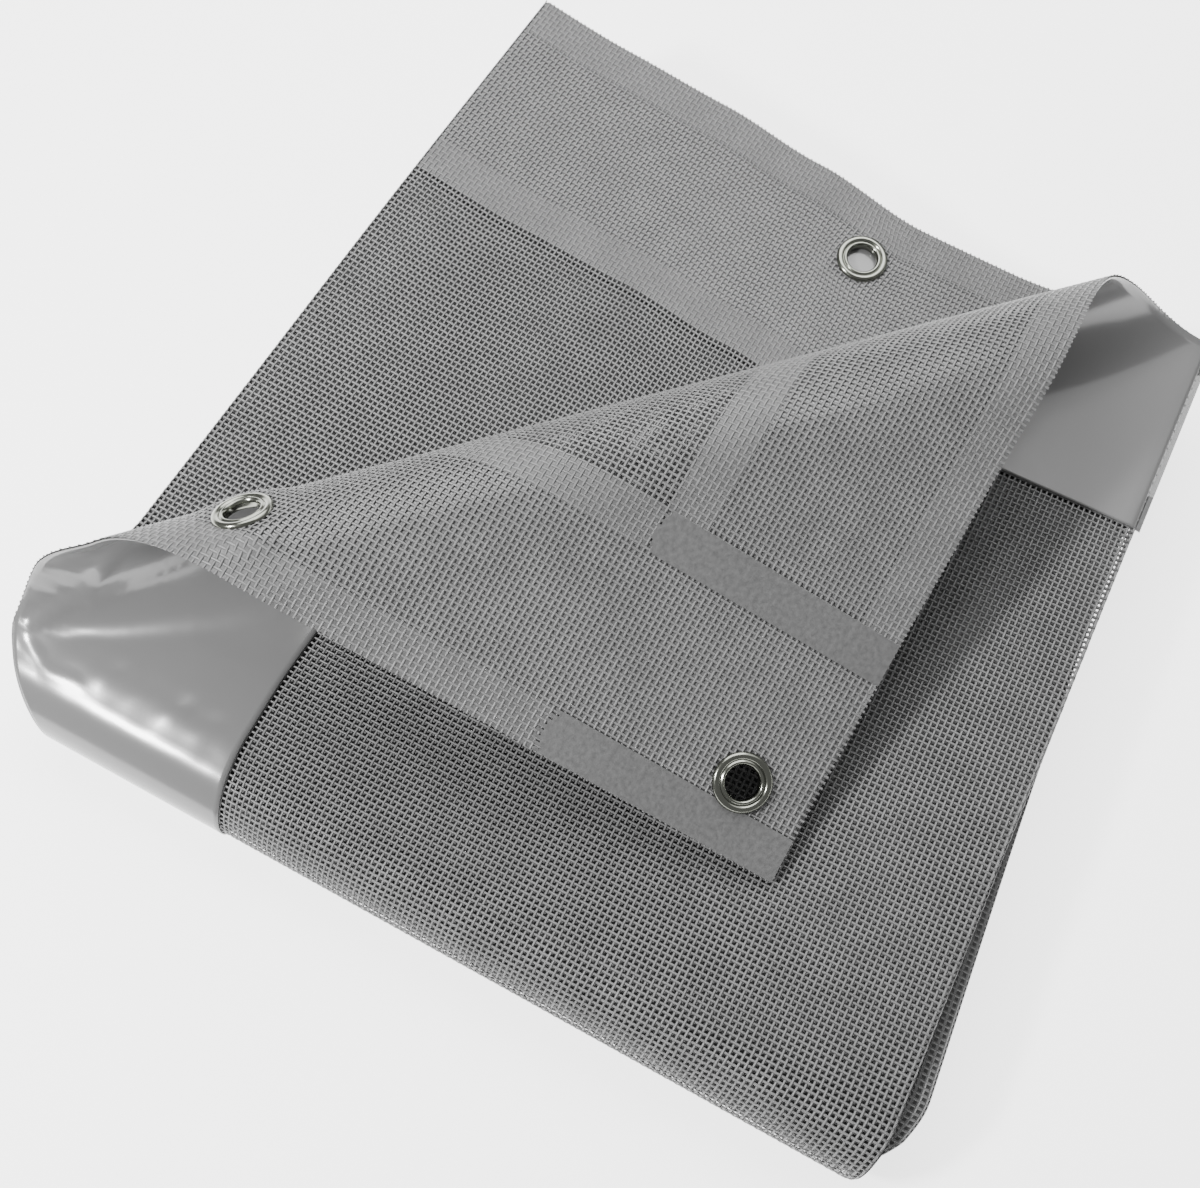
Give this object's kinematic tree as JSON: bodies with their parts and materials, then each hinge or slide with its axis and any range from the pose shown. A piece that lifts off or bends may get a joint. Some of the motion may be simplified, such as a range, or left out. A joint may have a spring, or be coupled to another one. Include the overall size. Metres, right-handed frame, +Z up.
{
  "type": "folded privacy screen net",
  "caption": "Grey mesh privacy screen with smooth border strips and metal eyelets, folded into a square stack with one corner turned over in a soft roll.",
  "frame": {"origin": "middle of the folded stack's overall box, on the surface it rests on", "axes": "+Z up, -Y towards the front turn that all plies go round, +X along the net's length towards the stack's right edge"},
  "size_m": [0.469, 0.4818, 0.1384],
  "materials": {
    "coated_mesh": "woven polyester yarn with a grey PVC coat, open plain weave",
    "smooth_pvc": "smooth glossy PVC sheet",
    "nickel": "polished nickel plate"
  },
  "bodies": {
    "root": {"net_mesh": "coated_mesh", "strip_left": "smooth_pvc", "strip_top": "smooth_pvc", "strip_bottom": "smooth_pvc", "strip_right": "smooth_pvc", "eyelet_corner": "nickel", "eyelet_side": "nickel", "eyelet_top": "nickel"}
  },
  "joints": []
}
